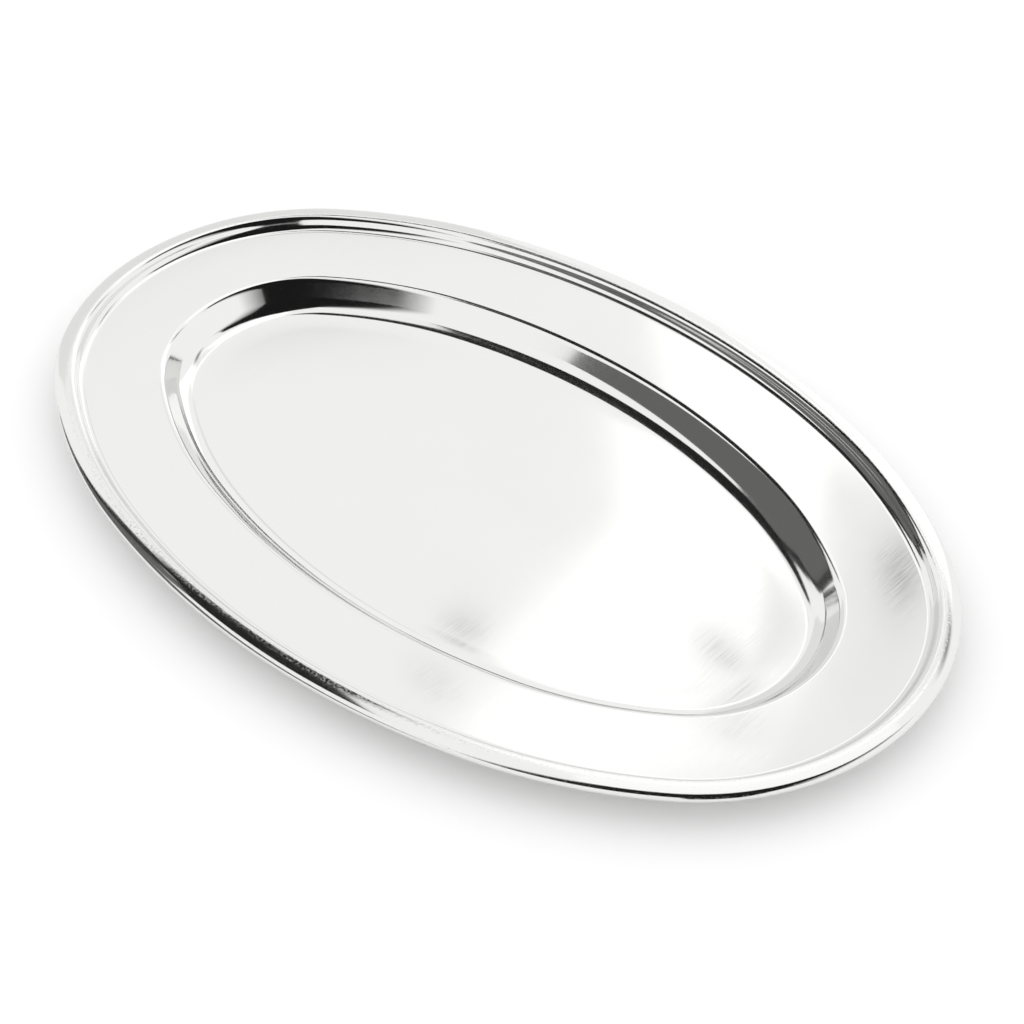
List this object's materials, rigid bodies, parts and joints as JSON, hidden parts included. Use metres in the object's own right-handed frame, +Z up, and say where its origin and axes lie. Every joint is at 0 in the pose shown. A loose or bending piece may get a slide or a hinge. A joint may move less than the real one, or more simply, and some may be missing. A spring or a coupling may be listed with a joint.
{
  "type": "serving tray",
  "caption": "Oval stainless-steel serving tray: shallow flat-floored well, wide level brim, raised rim with a rolled edge, pressed from one sheet.",
  "frame": {"origin": "on the standing surface, under the middle of the oval", "axes": "+Z up, +X along the length, +Y across the width"},
  "size_m": [0.45, 0.2898, 0.019],
  "materials": {
    "stainless_steel": "mirror-polished with a fine buffed grain"
  },
  "bodies": {
    "root": {"tray": "stainless_steel"}
  },
  "joints": []
}
